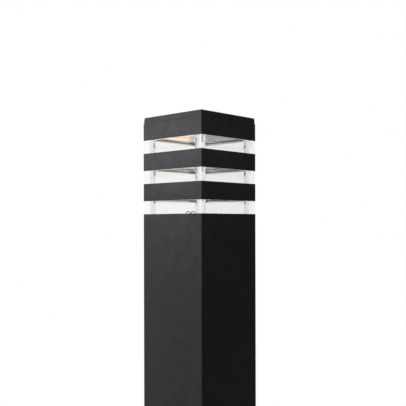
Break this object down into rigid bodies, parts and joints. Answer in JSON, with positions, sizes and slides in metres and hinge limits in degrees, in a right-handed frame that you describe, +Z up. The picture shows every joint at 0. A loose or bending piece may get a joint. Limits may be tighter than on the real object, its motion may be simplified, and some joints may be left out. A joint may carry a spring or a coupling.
{
  "type": "bollard light",
  "caption": "Square post light with clear windows between bands at its head, on a spigot foot plate with anchor holes.",
  "frame": {"origin": "middle of the foot plate's underside, on the ground", "axes": "+Z up along the post; X and Y square to its faces"},
  "size_m": [0.12, 0.12, 0.8],
  "materials": {
    "powder_coat": "matte",
    "clear_acrylic": "gloss",
    "bright_aluminium": "satin",
    "cast_aluminium": "matte",
    "zinc_steel": "satin",
    "dark_stainless": "satin",
    "galvanised_sheet": "matte",
    "brass": "satin",
    "seal_rubber": "matte",
    "board_white": "satin",
    "phosphor": "matte",
    "black_plastic": "satin",
    "driver_case": "satin",
    "terminal_plastic": "satin",
    "lead_grey": "satin",
    "lead_brown": "satin",
    "lead_green": "satin"
  },
  "bodies": {
    "ground": {"ground_base": "powder_coat"},
    "post": {"post_tube": "powder_coat", "press_nuts": "zinc_steel", "side_lugs": "cast_aluminium", "head_flange": "cast_aluminium", "flange_screws": "zinc_steel", "led_board": "board_white", "board_screws": "zinc_steel", "led_emitter": "phosphor", "led_lens": "clear_acrylic", "lens_holder": "black_plastic", "lead_grommet": "seal_rubber", "led_leads": "lead_grey", "ring_low": "clear_acrylic", "ring_mid": "clear_acrylic", "ring_top": "clear_acrylic", "ring_seals": "seal_rubber", "ring_screws": "zinc_steel", "corner_pillars": "bright_aluminium", "band_low": "powder_coat", "band_mid": "powder_coat", "band_cap": "powder_coat", "band_screws": "zinc_steel", "reflector_low": "bright_aluminium", "reflector_mid": "bright_aluminium", "reflector_cap": "bright_aluminium", "reflector_rivets": "bright_aluminium", "lid": "powder_coat", "lid_gasket": "seal_rubber", "lid_screws": "dark_stainless", "gear_tray": "galvanised_sheet", "tray_screws": "zinc_steel", "led_driver": "driver_case", "driver_screws": "zinc_steel", "driver_leads": "lead_brown", "terminal_block": "terminal_plastic", "terminal_screws": "brass", "cable_clamp": "terminal_plastic", "clamp_screws": "zinc_steel", "earth_stud": "brass", "earth_nuts": "brass", "earth_lead": "lead_green"},
    "grub_right": {"grub_right": "dark_stainless"},
    "grub_back": {"grub_back": "dark_stainless"},
    "grub_left": {"grub_left": "dark_stainless"},
    "grub_front": {"grub_front": "dark_stainless"}
  },
  "joints": [
    {"name": "post_lift", "type": "slide", "parent": "ground", "child": "post", "axis": [0, 0, 1], "range_m": [0, 0.075]},
    {"name": "grub_right_out", "type": "slide", "parent": "post", "child": "grub_right", "axis": [1, 0, 0], "range_m": [0, 0.006]},
    {"name": "grub_back_out", "type": "slide", "parent": "post", "child": "grub_back", "axis": [0, 1, 0], "range_m": [0, 0.006]},
    {"name": "grub_left_out", "type": "slide", "parent": "post", "child": "grub_left", "axis": [-1, 0, 0], "range_m": [0, 0.006]},
    {"name": "grub_front_out", "type": "slide", "parent": "post", "child": "grub_front", "axis": [0, -1, 0], "range_m": [0, 0.006]}
  ]
}
